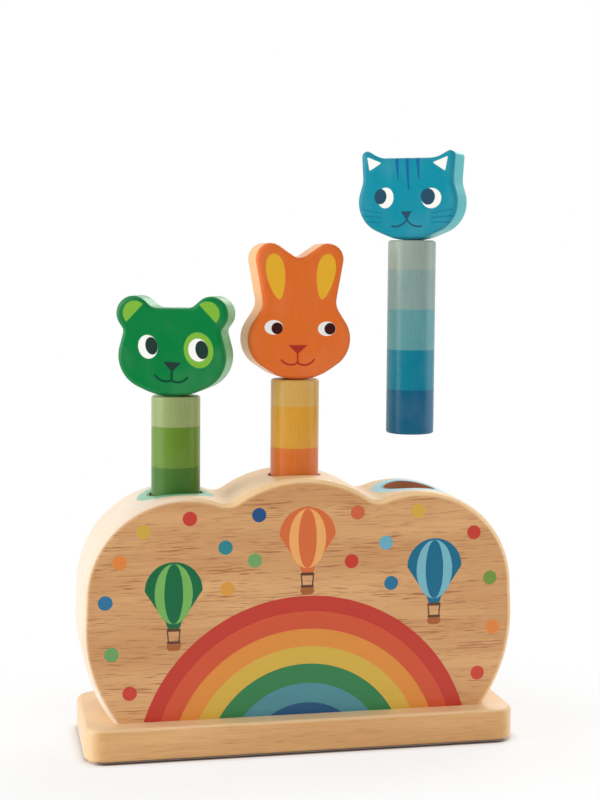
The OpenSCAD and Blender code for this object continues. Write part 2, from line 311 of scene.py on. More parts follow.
def touching_centre(a, b, radius):
    """Centre of a circle that touches two others, on the left of the way from a to b."""
    gap = math.dist(a[:2], b[:2])
    side_a, side_b = a[2] + radius, b[2] + radius
    along = (side_a ** 2 - side_b ** 2 + gap ** 2) / (2 * gap)
    up = math.sqrt(side_a ** 2 - along ** 2)
    tx, tz = (b[0] - a[0]) / gap, (b[1] - a[1]) / gap
    return a[0] + tx * along - tz * up, a[1] + tz * along + tx * up


# --- The wooden pieces ---

def make_base_board():
    corner_x = PLATE_LENGTH / 2 - PLATE_CORNER
    corner_y = PLATE_WIDTH / 2 - PLATE_CORNER
    corners = [(corner_x, -corner_y, PLATE_CORNER), (corner_x, corner_y, PLATE_CORNER)]
    plate = board("base_board", mirrored([], corners, []), 0, PLATE_TOP, lying=True)
    round_over(plate, lambda a, b: abs(a.z - b.z) < TOGETHER, PLATE_EDGE)
    countersink = make_countersink()
    for x in BASE_SCREW_X:
        cut(plate, copied(countersink, "countersink", (x, 0, 0)))
    bpy.data.objects.remove(countersink)
    smooth(plate)
    return plate


def make_countersink():
    """The cutter for a screw's hole: its round recess, its cone, and the shank's bore."""
    bore = SCREW_SHANK + SCREW_GAP
    return turned([
        (0, -CLEAR), (SCREW_HEAD, -CLEAR), (SCREW_HEAD, SCREW_RECESS),
        (bore, SCREW_RECESS + SCREW_HEAD - bore), (bore, PLATE_TOP + CLEAR),
        (0, PLATE_TOP + CLEAR)], BORE_SIDES)


def make_block():
    """The cloud-shaped block, with rounded face edges and softened hole mouths."""
    dip = touching_centre(MIDDLE_LOBE, SIDE_LOBE, DIP_RADIUS)
    foot_x = FLANK[0] + math.sqrt(FLANK[2] ** 2 - (FLANK[1] - PLATE_TOP) ** 2)
    side = [(foot_x, PLATE_TOP, 0), FLANK, SIDE_LOBE, (*dip, -DIP_RADIUS)]
    block = board("cloud_block", mirrored([], side, [MIDDLE_LOBE]), -BLOCK_DEPTH / 2, BLOCK_DEPTH)
    foot, top = PLATE_TOP + TOGETHER, MIDDLE_LOBE[1] + MIDDLE_LOBE[2]
    round_over(block, lambda a, b: abs(a.y - b.y) < TOGETHER and max(a.z, b.z) > foot,
               BLOCK_EDGE, 7)
    for x in HOLE_X.values():
        cut(block, cylinder(HOLE_RADIUS, PLATE_TOP - CLEAR, top + CLEAR, x))
    for x in HOLE_X.values():
        def on_mouth(a, b, x=x):
            far = max(abs(math.hypot(p.x - x, p.y) - HOLE_RADIUS) for p in (a, b))
            return far < TOGETHER and min(a.z, b.z) > top / 2
        round_over(block, on_mouth, MOUTH_EDGE, 3)
    smooth(block)
    return block


def make_head(animal):
    """One flat head, rounded front and back, bored for its neck pin and turned on its stem."""
    chin = NECK_Z[animal]
    circles = mirrored([CHIN[animal]], CHEEK_AND_EAR[animal], CROWN[animal])
    placed = [(across, up + chin, radius) for across, up, radius in circles]
    head = board(animal + "_face", placed, -HEAD_THICKNESS / 2, HEAD_THICKNESS)
    round_over(head, lambda a, b: abs(a.y - b.y) < TOGETHER, HEAD_EDGE)
    cut(head, cylinder(PIN_RADIUS, chin - CLEAR, chin + PIN_IN_HEAD, sides=BORE_SIDES))
    turn = Matrix.Rotation(math.radians(TURNS[animal]), 4, "Z")
    head.data.transform(Matrix.Translation((HOLE_X[animal] * MM, 0, 0)) @ turn)
    smooth(head, 40)
    return head


def make_stem():
    """The round stem with softened ends, bored from above for its neck pin.

    It stands on the middle of the floor, and each peg gets a copy of it.
    """
    stem = cylinder(STEM_RADIUS, 0, STEM_LENGTH, sides=128)
    round_over(stem, lambda a, b: abs(a.z - b.z) < TOGETHER, STEM_EDGE, 4)
    bore_end = STEM_LENGTH - PIN_IN_STEM
    cut(stem, cylinder(PIN_RADIUS, bore_end, STEM_LENGTH + CLEAR, sides=BORE_SIDES))
    smooth(stem, 40)
    return stem


def cut_driver_cross(screw, face, inwards, cross):
    """Cuts a driver's cross in a screw's face: up into it with inwards 1, or down with -1."""
    across, wide, out, deep = cross
    middle = face + inwards * (deep - out) / 2
    for length, width in ((across, wide), (wide, across)):
        let_go()
        bpy.ops.mesh.primitive_cube_add(
            size=MM, location=(0, 0, middle * MM), scale=(length, width, deep + out))
        bpy.ops.object.transform_apply(location=True, rotation=True, scale=True)
        blade = bpy.context.object
        select_where(blade, "VERT", lambda point: (point.z - middle) * inwards > 0)
        bpy.ops.transform.resize(value=(CROSS_TAPER, CROSS_TAPER, 1),
                                 center_override=(0, 0, face * MM))
        let_go()
        cut(screw, blade)


def make_base_screws():
    """The four countersunk screws that hold the block, as copies of one."""
    head, foot = SCREW_RECESS, SCREW_RECESS + SCREW_LENGTH
    screw = turned([
        (0, head), (SCREW_HEAD - RIM_WIDTH, head), (SCREW_HEAD, head + RIM_HEIGHT),
        (SCREW_SHANK, head + SCREW_HEAD - SCREW_SHANK), (SCREW_SHANK, foot - 2 * SCREW_SHANK),
        (SCREW_TIP, foot), (0, foot)])
    cut_driver_cross(screw, head, 1, BASE_CROSS)
    smooth(screw, 35)
    first, *others = [copied(screw, "base_screw_set", (x, 0, 0)) for x in BASE_SCREW_X]
    bpy.data.objects.remove(screw)
    pick(first)
    for other in others:
        other.select_set(True)
    bpy.ops.object.join()
    let_go()
    return first


def make_spring_screw():
    """The dome-headed screw that holds a spring's eye on the base board.

    Its head's top is at z = 0, and each spring gets a copy of it.
    """
    bend = (SPRING_SCREW_HEAD ** 2 + SPRING_SCREW_DOME ** 2) / (2 * SPRING_SCREW_DOME)
    half = math.asin(SPRING_SCREW_HEAD / bend)
    angles = [half * i / DOME_STEPS for i in range(DOME_STEPS)]
    dome = [(bend * math.sin(angle), bend * (math.cos(angle) - 1)) for angle in angles]
    foot = foot_of("bear_spring_screw") - top_of("bear_spring_screw")
    screw = turned([
        *dome, (SPRING_SCREW_HEAD, -SPRING_SCREW_DOME), (SPRING_SCREW_SHANK, -SPRING_SCREW_DOME),
        (SPRING_SCREW_SHANK, foot + 2 * SPRING_SCREW_SHANK), (SCREW_TIP, foot), (0, foot)])
    cut_driver_cross(screw, 0, -1, DOME_CROSS)
    smooth(screw, 35)
    return screw


def make_spring(animal):
    """One coil spring: a flat eye round the screw, rising coils, and a flat end under the stem."""
    x, low, high = HOLE_X[animal], PLATE_TOP, SEAT_Z[animal]
    turns = EYE_TURNS + RISING_TURNS + FLAT_TURNS
    line = bpy.data.curves.new(animal + "_coil_spring", "CURVE")
    line.dimensions = "3D"
    line.bevel_depth = WIRE_RADIUS * MM
    line.bevel_resolution = 3
    line.use_fill_caps = True
    path = line.splines.new("POLY")
    count = math.ceil(turns * STEPS_PER_TURN)
    path.points.add(count)
    for i in range(count + 1):
        wound = turns * i / count
        out = min(1, wound / EYE_TURNS)
        risen = max(0, min(1, (wound - EYE_TURNS) / RISING_TURNS))
        radius = EYE_RADIUS + (COIL_RADIUS - EYE_RADIUS) * out * out * (3 - 2 * out)
        angle = math.tau * wound
        spot = (x + radius * math.cos(angle), radius * math.sin(angle),
                low + WIRE_RADIUS + (high - low - 2 * WIRE_RADIUS) * risen)
        path.points[i].co = (*(Vector(spot) * MM), 1)
    spring = bpy.data.objects.new(line.name, line)
    bpy.context.collection.objects.link(spring)
    pick(spring)
    bpy.ops.object.convert(target="MESH")
    spring = bpy.context.object
    edit(spring)
    weld(0.01)
    smooth(spring, 50)
    return spring


# --- Shader building ---

def link(tree, value, socket):
    """Feeds a socket from another socket, or sets it to a plain value."""
    if isinstance(value, bpy.types.NodeSocket):
        tree.links.new(value, socket)
    else:
        socket.default_value = value


def add(tree, kind, sockets, **settings):
    """Adds a shader node, with its settings and what goes into its sockets."""
    made = tree.nodes.new(kind)
    for name, value in settings.items():
        setattr(made, name, value)
    for key, value in sockets.items():
        link(tree, value, made.inputs[key])
    return made


def maths(tree, operation, *values, clamp=False):
    sockets = dict(enumerate(values))
    return add(tree, "ShaderNodeMath", sockets, operation=operation, use_clamp=clamp).outputs[0]


def times(tree, first, second):
    return maths(tree, "MULTIPLY", first, second)


def vectors(tree, operation, *values):
    made = add(tree, "ShaderNodeVectorMath", dict(enumerate(values)), operation=operation)
    plain = operation in ("LENGTH", "DOT_PRODUCT", "DISTANCE")
    return made.outputs["Value" if plain else "Vector"]


def scaled(tree, vector, scale):
    return vectors(tree, "MULTIPLY", vector, scale)


def parts_of(tree, vector):
    """The three numbers of a vector."""
    return add(tree, "ShaderNodeSeparateXYZ", {0: vector}).outputs


def combined(tree, x=0.0, y=0.0, z=0.0):
    """A vector from three numbers."""
    return add(tree, "ShaderNodeCombineXYZ", {0: x, 1: y, 2: z}).outputs[0]


def mixed(tree, share, first, second, how="MIX"):
    """Two colours mixed by a share from 0, the first, to 1, the second."""
    return add(tree, "ShaderNodeMix", {0: share, 6: first, 7: second},
               data_type="RGBA", blend_type=how).outputs[2]


def ramp(tree, value, low, high, start=0.0, end=1.0):
    """Runs smoothly from start to end while a value goes from low to high."""
    return add(tree, "ShaderNodeMapRange", {0: value, 1: low, 2: high, 3: start, 4: end},
               interpolation_type="SMOOTHSTEP").outputs[0]


def noise(tree, vector, scale, detail=2.0, roughness=0.5):
    """Soft noise with its own number of cells per millimetre along each axis."""
    return add(tree, "ShaderNodeTexNoise",
               {"Vector": scaled(tree, vector, scale), "Scale": 1.0, "Detail": detail,
                "Roughness": roughness}).outputs["Fac"]


NOWHERE = (0, 0, 0)


def kind_of(value):
    """The kind of socket that holds a value."""
    if isinstance(value, tuple):
        return "NodeSocketColor" if len(value) == 4 else "NodeSocketVector"
    return "NodeSocketFloat"


def start_group(name, takes, gives):
    """An empty node group with a place, and named inputs and outputs with their defaults."""
    tree = bpy.data.node_groups.new(name, "ShaderNodeTree")
    for label, value in {"Vector": NOWHERE, **takes}.items():
        tree.interface.new_socket(
            label, in_out="INPUT", socket_type=kind_of(value)).default_value = value
    for label, value in gives.items():
        tree.interface.new_socket(label, in_out="OUTPUT", socket_type=kind_of(value))
    taken = tree.nodes.new("NodeGroupInput").outputs
    given = tree.nodes.new("NodeGroupOutput").inputs
    return tree, taken, given


def give(tree, given, **values):
    """Feeds a group's outputs, and returns the finished group."""
    for label, value in values.items():
        link(tree, value, given[label])
    return tree


def use(tree, group, sockets):
    return add(tree, "ShaderNodeGroup", sockets, node_tree=group).outputs


# --- Painted marks: shader groups that each give the mask of one mark ---
# They are in millimetres and lie in the upright plane, x to the right and z up.

MARK_EDGE = 0.22
UPRIGHT, LEVEL = (1, 0, 1), (1, 1, 0)
MASK = {"Mask": 0.0}


def way_from(tree, taken, label):
    """The way to the place from one of a group's points, in the upright plane."""
    return scaled(tree, vectors(tree, "SUBTRACT", taken["Vector"], taken[label]), UPRIGHT)


def inked(tree, distance):
    """The mask of a mark from the distance to its edge, which is negative inside."""
    return maths(tree, "SUBTRACT", 0.5, maths(tree, "DIVIDE", distance, MARK_EDGE), clamp=True)


def make_oval_group():
    """An oval that may lean, and may be wider at one end."""
    tree, taken, given = start_group(
        "Painted oval", {"Centre": NOWHERE, "Half Width": 1.0, "Half Height": 1.0,
                         "Lean": 0.0, "Taper": 0.0}, MASK)
    out = way_from(tree, taken, "Centre")
    upright = add(tree, "ShaderNodeVectorRotate", {"Vector": out, "Angle": taken["Lean"]},
                  rotation_type="Y_AXIS").outputs[0]
    up = maths(tree, "DIVIDE", parts_of(tree, upright)["Z"], taken["Half Height"])
    swell = maths(tree, "MULTIPLY_ADD", times(tree, up, taken["Taper"]),
                  taken["Half Width"], taken["Half Width"])
    size = combined(tree, swell, 1.0, taken["Half Height"])
    reach = vectors(tree, "LENGTH", vectors(tree, "DIVIDE", upright, size))
    least = maths(tree, "MINIMUM", taken["Half Width"], taken["Half Height"])
    distance = times(tree, maths(tree, "SUBTRACT", reach, 1.0), least)
    return give(tree, given, Mask=inked(tree, distance))


def make_stroke_group():
    """A straight stroke with round ends, which may be thicker at one end."""
    tree, taken, given = start_group(
        "Painted stroke", {"Start": NOWHERE, "End": NOWHERE, "Start Radius": 0.5,
                           "End Radius": 0.5}, MASK)
    out = way_from(tree, taken, "Start")
    along = vectors(tree, "SUBTRACT", taken["End"], taken["Start"])
    share = maths(tree, "DIVIDE", vectors(tree, "DOT_PRODUCT", out, along),
                  vectors(tree, "DOT_PRODUCT", along, along), clamp=True)
    nearest = add(tree, "ShaderNodeVectorMath", {"Vector": along, "Scale": share},
                  operation="SCALE").outputs[0]
    grown = maths(tree, "SUBTRACT", taken["End Radius"], taken["Start Radius"])
    radius = maths(tree, "MULTIPLY_ADD", grown, share, taken["Start Radius"])
    distance = maths(tree, "SUBTRACT", vectors(tree, "DISTANCE", out, nearest), radius)
    return give(tree, given, Mask=inked(tree, distance))


def make_arc_group():
    """A curved stroke along part of a circle, with round ends."""
    tree, taken, given = start_group(
        "Painted arc", {"Centre": NOWHERE, "Radius": 1.0, "From": 0.0, "To": 1.0,
                        "Half Width": 0.5}, MASK)
    out = way_from(tree, taken, "Centre")
    spot = parts_of(tree, out)
    angle = maths(tree, "ARCTAN2", spot["Z"], spot["X"])
    held = maths(tree, "MINIMUM", maths(tree, "MAXIMUM", angle, taken["From"]), taken["To"])
    nearest = combined(tree, times(tree, maths(tree, "COSINE", held), taken["Radius"]), 0.0,
                       times(tree, maths(tree, "SINE", held), taken["Radius"]))
    distance = maths(tree, "SUBTRACT", vectors(tree, "DISTANCE", out, nearest),
                     taken["Half Width"])
    return give(tree, given, Mask=inked(tree, distance))


def make_wedge_group():
    """A triangle with softened corners. Its corners are given counter-clockwise."""
    corners = ("First", "Second", "Third")
    tree, taken, given = start_group(
        "Painted wedge", {**dict.fromkeys(corners, NOWHERE), "Softness": 0.6}, MASK)
    farthest = None
    for i, name in enumerate(corners):
        side = vectors(tree, "SUBTRACT", taken[corners[(i + 1) % 3]], taken[name])
        outwards = vectors(tree, "NORMALIZE", vectors(tree, "CROSS_PRODUCT", (0, 1, 0), side))
        distance = vectors(tree, "DOT_PRODUCT", way_from(tree, taken, name), outwards)
        farthest = distance if farthest is None else maths(
            tree, "SMOOTH_MAX", farthest, distance, taken["Softness"])
    return give(tree, given, Mask=inked(tree, farthest))


OVAL = make_oval_group()
STROKE = make_stroke_group()
ARC = make_arc_group()
WEDGE = make_wedge_group()


def oval(x, z, width, height, paint, lean=0, taper=0.0):
    """An oval mark. Its lean is in degrees, with the top to the left.

    A tapered one is egg-shaped, with its thick end up.
    """
    return OVAL, {"Centre": (x, 0, z), "Half Width": width / 2, "Half Height": height / 2,
                  "Lean": math.radians(lean), "Taper": taper}, paint


def stroke(start, end, width, paint, end_width=None):
    last = width if end_width is None else end_width
    return STROKE, {"Start": (start[0], 0, start[1]), "End": (end[0], 0, end[1]),
                    "Start Radius": width / 2, "End Radius": last / 2}, paint


def wedge(first, second, third, paint, softness=0.6):
    corners = {"First": first, "Second": second, "Third": third}
    return WEDGE, {"Softness": softness,
                   **{name: (x, 0, z) for name, (x, z) in corners.items()}}, paint


def arc(start, middle, end, width, paint):
    """A curved stroke through three points, left to right, that hangs down in the middle."""
    (ax, az), (bx, bz), (cx, cz) = start, middle, end
    twice = 2 * (ax * (bz - cz) + bx * (cz - az) + cx * (az - bz))
    a2, b2, c2 = ax * ax + az * az, bx * bx + bz * bz, cx * cx + cz * cz
    x = (a2 * (bz - cz) + b2 * (cz - az) + c2 * (az - bz)) / twice
    z = (a2 * (cx - bx) + b2 * (ax - cx) + c2 * (bx - ax)) / twice
    return ARC, {"Centre": (x, 0, z), "Radius": math.hypot(ax - x, az - z),
                 "From": math.atan2(az - z, ax - x), "To": math.atan2(cz - z, cx - x),
                 "Half Width": width / 2}, paint


def paint_marks(tree, vector, ground, marks, where):
    """Paints marks over a colour one after another, inside the mask where."""
    for group, sockets, paint in marks:
        mask = use(tree, group, {"Vector": vector, **sockets})["Mask"]
        ground = mixed(tree, times(tree, mask, where), ground, paint)
    return ground


# --- Finishes that several pieces share ---

WHITE = (1, 1, 1, 1)
FINISH = {"Color": WHITE, "Roughness": 0.0, "Height": 0.0}


def make_grain_group():
    """Hardwood with its grain along x: broad bands, fine streaks and short dark flecks."""
    tree, taken, given = start_group(
        "Board grain", {"Light": colour(230, 190, 135), "Dark": colour(205, 155, 100),
                        "Fleck": colour(150, 95, 55), "Flecks": 0.6}, FINISH)
    here = taken["Vector"]
    # The grain wanders a little up and down along the board.
    wander = times(tree, noise(tree, here, (0.012, 0.03, 0.03), 1.0), 5.0)
    here = vectors(tree, "ADD", here, combined(tree, z=wander))
    broad = noise(tree, here, (0.006, 0.02, 0.035), 2.0)
    bands = noise(tree, here, (0.010, 0.10, 0.24), 3.0, 0.55)
    streaks = noise(tree, here, (0.035, 1.1, 2.0), 2.0, 0.6)
    flecks = noise(tree, here, (0.07, 0.9, 1.6), 1.0, 0.5)
    hairs = noise(tree, here, (0.12, 1.6, 3.0), 1.0, 0.5)
    patches = noise(tree, here, (0.028, 0.09, 0.14), 1.0)
    base = mixed(tree, ramp(tree, broad, 0.35, 0.65), taken["Light"], taken["Dark"])
    base = mixed(tree, ramp(tree, bands, 0.40, 0.70, 0.0, 0.55), base, taken["Dark"])
    base = mixed(tree, ramp(tree, streaks, 0.45, 0.75, 0.0, 0.2), base, taken["Fleck"])
    crowd = ramp(tree, patches, 0.30, 0.58, 0.15, 1.0)
    long_pits = times(tree, ramp(tree, flecks, 0.61, 0.70), crowd)
    short_pits = times(tree, ramp(tree, hairs, 0.60, 0.70, 0.0, 0.5), crowd)
    pits = maths(tree, "MAXIMUM", long_pits, short_pits)
    base = mixed(tree, times(tree, pits, taken["Flecks"]), base, taken["Fleck"])
    return give(tree, given, Color=base, Roughness=ramp(tree, streaks, 0.3, 0.7, 0.30, 0.42),
                Height=maths(tree, "SUBTRACT", times(tree, streaks, 0.25), pits))


def make_stain_group():
    """A coloured stain: the wood beneath makes it a little uneven, as does the brush."""
    tree, taken, given = start_group(
        "Stained wood", {"Paint": colour(120, 120, 120), "Cover": 0.85}, FINISH)
    here = taken["Vector"]
    cloudy = noise(tree, here, (0.07, 0.07, 0.05), 2.0)
    fibres = noise(tree, here, (1.4, 1.4, 0.07), 2.0, 0.6)
    bare = maths(tree, "SUBTRACT", 1.0, taken["Cover"])
    shade = times(tree, ramp(tree, fibres, 0.4, 0.7), bare)
    deeper = mixed(tree, 1.0, taken["Paint"], (0.62, 0.6, 0.55, 1), "MULTIPLY")
    paler = mixed(tree, 0.035, taken["Paint"], (1, 0.97, 0.9, 1))
    base = mixed(tree, shade, taken["Paint"], deeper)
    base = mixed(tree, ramp(tree, cloudy, 0.40, 0.75, 0.0, 0.6), base, paler)
    orange_peel = noise(tree, here, (0.5, 0.5, 0.5), 1.0)
    return give(tree, given, Color=base, Roughness=ramp(tree, cloudy, 0.3, 0.7, 0.26, 0.34),
                Height=maths(tree, "MULTIPLY_ADD", fibres, 0.4, orange_peel))


def make_steel_group():
    """Drawn or plated steel: fine marks and a slight tarnish."""
    tree, taken, given = start_group("Plated steel", {"Steel": colour(190, 192, 195)}, FINISH)
    here = taken["Vector"]
    tarnish = noise(tree, here, (0.25, 0.25, 0.25), 3.0)
    marks = noise(tree, here, (3.0, 3.0, 6.0), 2.0)
    dull = mixed(tree, 1.0, taken["Steel"], (0.7, 0.68, 0.66, 1), "MULTIPLY")
    base = mixed(tree, ramp(tree, tarnish, 0.4, 0.75), taken["Steel"], dull)
    rough = ramp(tree, tarnish, 0.3, 0.7, 0.22, 0.42)
    return give(tree, given, Color=base, Roughness=rough, Height=marks)


GRAIN = make_grain_group()
STAIN = make_stain_group()
STEEL = make_steel_group()


def start_material(name, sockets):
    """A new material and its tree; sockets holds the shader's constants."""
    finish = bpy.data.materials.new(name)
    finish.use_nodes = True
    for key, value in sockets.items():
        finish.node_tree.nodes["Principled BSDF"].inputs[key].default_value = value
    return finish, finish.node_tree


def millimetres(tree, centre=(0, 0, 0), turn=0, tilt=(0, 0, 0)):
    """The place on the object in millimetres, from a centre and in its own turned axes."""
    spot = add(tree, "ShaderNodeTexCoord", {}).outputs["Object"]
    back = Matrix.Rotation(math.radians(-turn), 3, "Z")
    shift = -(back @ Vector(centre))
    rotation = (tilt[0], tilt[1], tilt[2] + math.radians(-turn))
    return add(tree, "ShaderNodeMapping",
               {"Vector": spot, "Location": tuple(shift), "Rotation": rotation,
                "Scale": (1 / MM, 1 / MM, 1 / MM)}).outputs[0]


def peg_millimetres(tree, animal):
    """The same for a peg: from the middle of the chin, in the peg's own turned axes."""
    return millimetres(tree, (HOLE_X[animal], 0, NECK_Z[animal]), TURNS[animal])


def finished(finish, base, grained, depth):
    """A material with its colour, and a group's roughness and bump, whose depth is given."""
    tree = finish.node_tree
    shader = tree.nodes["Principled BSDF"].inputs
    link(tree, base, shader["Base Color"])
    link(tree, grained["Roughness"], shader["Roughness"])
    bump = add(tree, "ShaderNodeBump",
               {"Height": grained["Height"], "Distance": depth * MM, "Strength": 1.0})
    link(tree, bump.outputs["Normal"], shader["Normal"])
    return finish


LACQUER = {"Specular IOR Level": 0.4}
STAIN_COAT = {"Specular IOR Level": 0.2}
BAND_COAT = {"Specular IOR Level": 0.35}


# --- The block: bare lacquered wood, a printed front and two ringed holes ---

RAINBOW_CENTRE = (2, -9)
# Each band's outer radius and colour.
RAINBOW = [(87, 200, 60, 45), (79, 214, 88, 52), (70, 228, 148, 62), (61, 217, 182, 72),
           (52, 48, 132, 78), (42, 78, 145, 160), (32, 30, 88, 135), (22, 226, 186, 90)]

BASKET = colour(172, 100, 50)
ROPE = colour(96, 62, 44)
DOT_WIDTH = 7.3
# Each dot's place and colour.
DOTS = [(-100, 78, 40, 120, 165), (-93, 98, 232, 140, 62), (-97, 52, 110, 168, 100),
        (-88, 32, 208, 66, 50), (-81, 113, 214, 176, 70), (-58, 119, 205, 62, 48),
        (-40, 104, 40, 140, 150), (-39, 83, 222, 160, 66), (-25, 97, 118, 172, 104),
        (-23, 120, 32, 84, 140), (28, 120, 214, 104, 62), (25, 95, 205, 60, 46),
        (43, 104, 108, 180, 205), (46, 83, 34, 120, 160), (60, 120, 216, 178, 68),
        (90, 108, 206, 62, 48), (99, 84, 118, 156, 66), (101, 58, 232, 140, 62),
        (93, 34, 208, 70, 52)]

# The rings round the holes: each one's outer radius and colour.
RING_PAINT = {"bear": [(20, colour(132, 192, 158)), (15, colour(22, 140, 66))], "bunny": [],
              "cat": [(20, colour(164, 216, 226)), (15, colour(112, 184, 200))]}


def balloon(x, z, paint, pale):
    """A small hot-air balloon: envelope with two pale gores, mouth, ropes and basket."""
    ropes = [stroke((x + 3.2 * side, z - 20), (x + 2.6 * side, z - 26), 0.7, ROPE)
             for side in (-1, 1)]
    return [stroke((x, z), (x, z - 16.4), 29, paint, 7.4),
            oval(x, z - 1.6, 19, 30.4, pale),
            oval(x, z - 1.6, 9.4, 30.4, paint),
            stroke((x - 2.7, z - 19.8), (x + 2.7, z - 19.8), 1.6, ROPE),
            *ropes,
            stroke((x - 1.4, z - 28.2), (x + 1.4, z - 28.2), 4.4, BASKET),
            stroke((x - 2.8, z - 26.1), (x + 2.8, z - 26.1), 1.3, ROPE)]


PRINT = [*[oval(*RAINBOW_CENTRE, 2 * reach, 2 * reach, colour(*paint))
           for reach, *paint in RAINBOW],
         *balloon(-66, 83, colour(0, 112, 66), colour(120, 188, 96)),
         *balloon(2, 109, colour(222, 112, 58), colour(244, 178, 104)),
         *balloon(69, 91, colour(10, 112, 148), colour(122, 190, 208)),
         *[oval(x, z, DOT_WIDTH, DOT_WIDTH, colour(*paint)) for x, z, *paint in DOTS]]


def make_block_wood():
    finish, tree = start_material("Printed block wood", LACQUER)
    here = millimetres(tree)
    grain = use(tree, GRAIN, {"Vector": here, "Light": colour(230, 182, 128),
                              "Dark": colour(212, 160, 106), "Fleck": colour(160, 90, 54),
                              "Flecks": 0.75})
    spot = parts_of(tree, here)
    front = ramp(tree, spot["Y"], -BLOCK_DEPTH / 2 + 0.05, -BLOCK_DEPTH / 2 + 0.35, 1.0, 0.0)
    # The front and back are flat-sawn and tan. The rim between them is painted paler as painted
    # light, and palest at the left end, where the left lamp's light is painted on.
    face = ramp(tree, maths(tree, "ABSOLUTE", spot["Y"]), BLOCK_DEPTH / 2 - 0.8,
                BLOCK_DEPTH / 2 - 0.05)
    leftwards = ramp(tree, spot["X"], -80, -35, 1.0, 0.0)
    painted_light_rim = mixed(tree, leftwards, colour(255, 220, 168), colour(247, 231, 211))
    # The lower part of the left end is painted lighter still, as painted light where less light
    # falls.
    low = times(tree, leftwards, ramp(tree, spot["Z"], 24, 64, 0.6, 0.0))
    painted_light_rim = mixed(tree, low, painted_light_rim, colour(255, 246, 236))
    # How much of the rim takes the painted light, more towards the left end.
    share = maths(tree, "MULTIPLY_ADD", leftwards, 0.12, 0.7)
    rim = mixed(tree, share, grain["Color"], painted_light_rim)
    # The ends show the yearly layers, as upright lines.
    layers = noise(tree, here, (0.03, 0.55, 0.012), 3.0, 0.6)
    endwise = ramp(tree, maths(tree, "ABSOLUTE", spot["X"]), 78, 104, 0.0, 0.3)
    layered = times(tree, ramp(tree, layers, 0.42, 0.62), endwise)
    rim = mixed(tree, layered, rim, colour(222, 178, 128))
    bare = mixed(tree, face, rim, grain["Color"])
    # The ink sits in the wood, so the pores show a little through it.
    wobble = noise(tree, here, (0.9, 0.9, 0.9), 1.0)
    shaken = vectors(tree, "ADD", here, combined(tree, times(tree, wobble, 0.3)))
    print_base = paint_marks(tree, shaken, bare, PRINT, front)
    through = mixed(tree, 1.0, print_base, grain["Color"], "MULTIPLY")
    base = mixed(tree, times(tree, front, 0.12), print_base, through)
    above = ramp(tree, spot["Z"], 100, 101)
    for animal, x in HOLE_X.items():
        out = scaled(tree, vectors(tree, "SUBTRACT", here, (x, 0, 0)), LEVEL)
        away = vectors(tree, "LENGTH", out)
        for reach, paint in RING_PAINT[animal]:
            ring = ramp(tree, away, reach - 0.15, reach + 0.15, 1.0, 0.0)
            base = mixed(tree, times(tree, above, ring), base, paint)
        inside = ramp(tree, away, HOLE_RADIUS + 0.05, HOLE_RADIUS + 0.3, 1.0, 0.0)
        base = mixed(tree, inside, base, colour(186, 120, 84))
    return finished(finish, base, grain, 0.03)


def make_board_wood():
    finish, tree = start_material("Base board wood", LACQUER)
    here = millimetres(tree, centre=(40, 15, 300))
    grain = use(tree, GRAIN, {"Vector": here, "Light": colour(230, 182, 124),
                              "Dark": colour(214, 162, 104), "Fleck": colour(166, 100, 56),
                              "Flecks": 0.3})
    spot = millimetres(tree)
    up = parts_of(tree, spot)["Z"]
    beyond = parts_of(tree, vectors(
        tree, "SUBTRACT", vectors(tree, "ABSOLUTE", spot), (PLATE_LENGTH / 2, PLATE_WIDTH / 2, 0)))
    # The long edges are tan; the top and, by degrees, the rounded corners are painted paler, as
    # painted light.
    face = times(tree, ramp(tree, beyond["Y"], -4, -0.05),
                 ramp(tree, up, PLATE_TOP - 1.6, PLATE_TOP - 0.3, 1.0, 0.0))
    pale = mixed(tree, 0.52, grain["Color"], colour(250, 224, 182))
    base = mixed(tree, face, pale, grain["Color"])
    # The rounded bottom edge is painted dark brown, as a painted contact shadow.
    rim = ramp(tree, maths(tree, "MAXIMUM", beyond["X"], beyond["Y"]), -2.4, -1.6)
    painted_contact_shade = times(tree, rim, ramp(tree, up, 0.9, 1.7, 0.9, 0.0))
    base = mixed(tree, painted_contact_shade, base, colour(70, 40, 22))
    return finished(finish, base, grain, 0.05)


# --- The heads: a stained front and back, paler sides, and a painted face ---
# Marks are measured from the middle of the chin.

BEAR_GREEN, BEAR_LEAF = colour(3, 122, 60), colour(122, 176, 58)
BEAR_INK, BEAR_MOUTH = colour(34, 56, 52), colour(4, 74, 50)
BUNNY_ORANGE, BUNNY_YELLOW = colour(227, 111, 42), colour(232, 176, 46)
BUNNY_RED, BUNNY_INK = colour(175, 50, 35), colour(62, 26, 24)
CAT_BLUE, CAT_INK = colour(3, 138, 160), colour(36, 74, 98)
CAT_STRIPE, CAT_WHISKER = colour(8, 98, 152), colour(6, 110, 146)
EYE_WHITE = colour(240, 240, 235)

